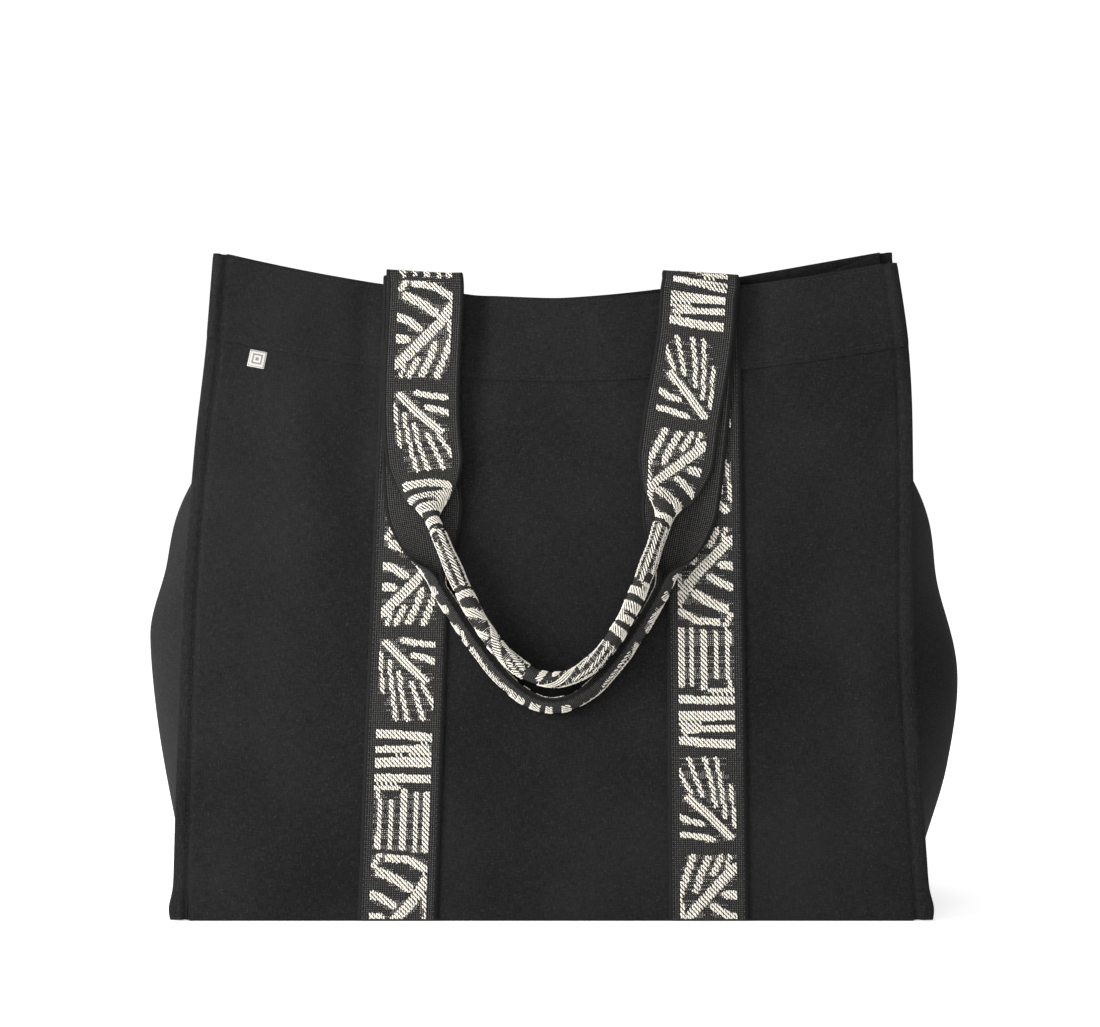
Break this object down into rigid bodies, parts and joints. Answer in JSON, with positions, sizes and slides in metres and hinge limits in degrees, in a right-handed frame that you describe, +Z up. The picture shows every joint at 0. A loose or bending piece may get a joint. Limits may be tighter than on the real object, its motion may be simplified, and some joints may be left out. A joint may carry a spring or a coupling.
{
  "type": "canvas tote bag",
  "caption": "Upright canvas tote with boxed base, inward-folding gussets, deep hem band and webbing handles with rolled grips that swing up from the front.",
  "frame": {"origin": "on the resting plane under the middle of the bag's bounding box", "axes": "+Z up, the front panel faces -Y, +X to the right seen from the front"},
  "size_m": [0.5456, 0.194, 0.438],
  "materials": {
    "canvas": "plain weave cotton canvas, matt",
    "webbing": "ribbed jacquard webbing, black ground with cream floats",
    "filler_cord": "twisted cotton cord",
    "binding_tape": "cotton twill tape",
    "tag_cloth": "woven satin tag",
    "snap_metal": "brushed nickel"
  },
  "bodies": {
    "bag": {"back_base_binding": "binding_tape", "back_handle_left_fold": "webbing", "back_handle_right_fold": "webbing", "back_hem_band": "canvas", "back_left_corner_welt": "canvas", "back_left_sewn_strap": "webbing", "back_panel": "canvas", "back_right_corner_welt": "canvas", "back_right_sewn_strap": "webbing", "back_snap_half": "snap_metal", "back_snap_plate": "snap_metal", "base_panel": "canvas", "front_base_binding": "binding_tape", "front_handle_left_fold": "webbing", "front_handle_right_fold": "webbing", "front_hem_band": "canvas", "front_left_corner_welt": "canvas", "front_left_sewn_strap": "webbing", "front_panel": "canvas", "front_right_corner_welt": "canvas", "front_right_sewn_strap": "webbing", "front_snap_half": "snap_metal", "front_snap_plate": "snap_metal", "left_base_binding": "binding_tape", "left_gusset": "canvas", "left_gusset_hem_band": "canvas", "right_base_binding": "binding_tape", "right_gusset": "canvas", "right_gusset_hem_band": "canvas", "woven_tag": "tag_cloth"},
    "front_handle": {"front_handle_core": "filler_cord", "front_handle_grip": "webbing", "front_handle_left_strap": "webbing", "front_handle_right_strap": "webbing"},
    "back_handle": {"back_handle_core": "filler_cord", "back_handle_grip": "webbing", "back_handle_left_strap": "webbing", "back_handle_right_strap": "webbing"}
  },
  "joints": [
    {"name": "back_handle_swing", "type": "hinge", "parent": "bag", "child": "back_handle", "pos_m": [0, -0.00384, 0.4147], "axis": [-1, 0, 0], "range_deg": [0, 145], "deforming": ["back_handle_left_fold", "back_handle_right_fold"]},
    {"name": "front_handle_swing", "type": "hinge", "parent": "bag", "child": "front_handle", "pos_m": [0, -0.01052, 0.41673], "axis": [-1, 0, 0], "range_deg": [0, 145], "deforming": ["front_handle_left_fold", "front_handle_right_fold"]}
  ],
  "couplings": [
    {"joint": "front_handle_swing", "follows": "back_handle_swing", "ratio": 1}
  ]
}
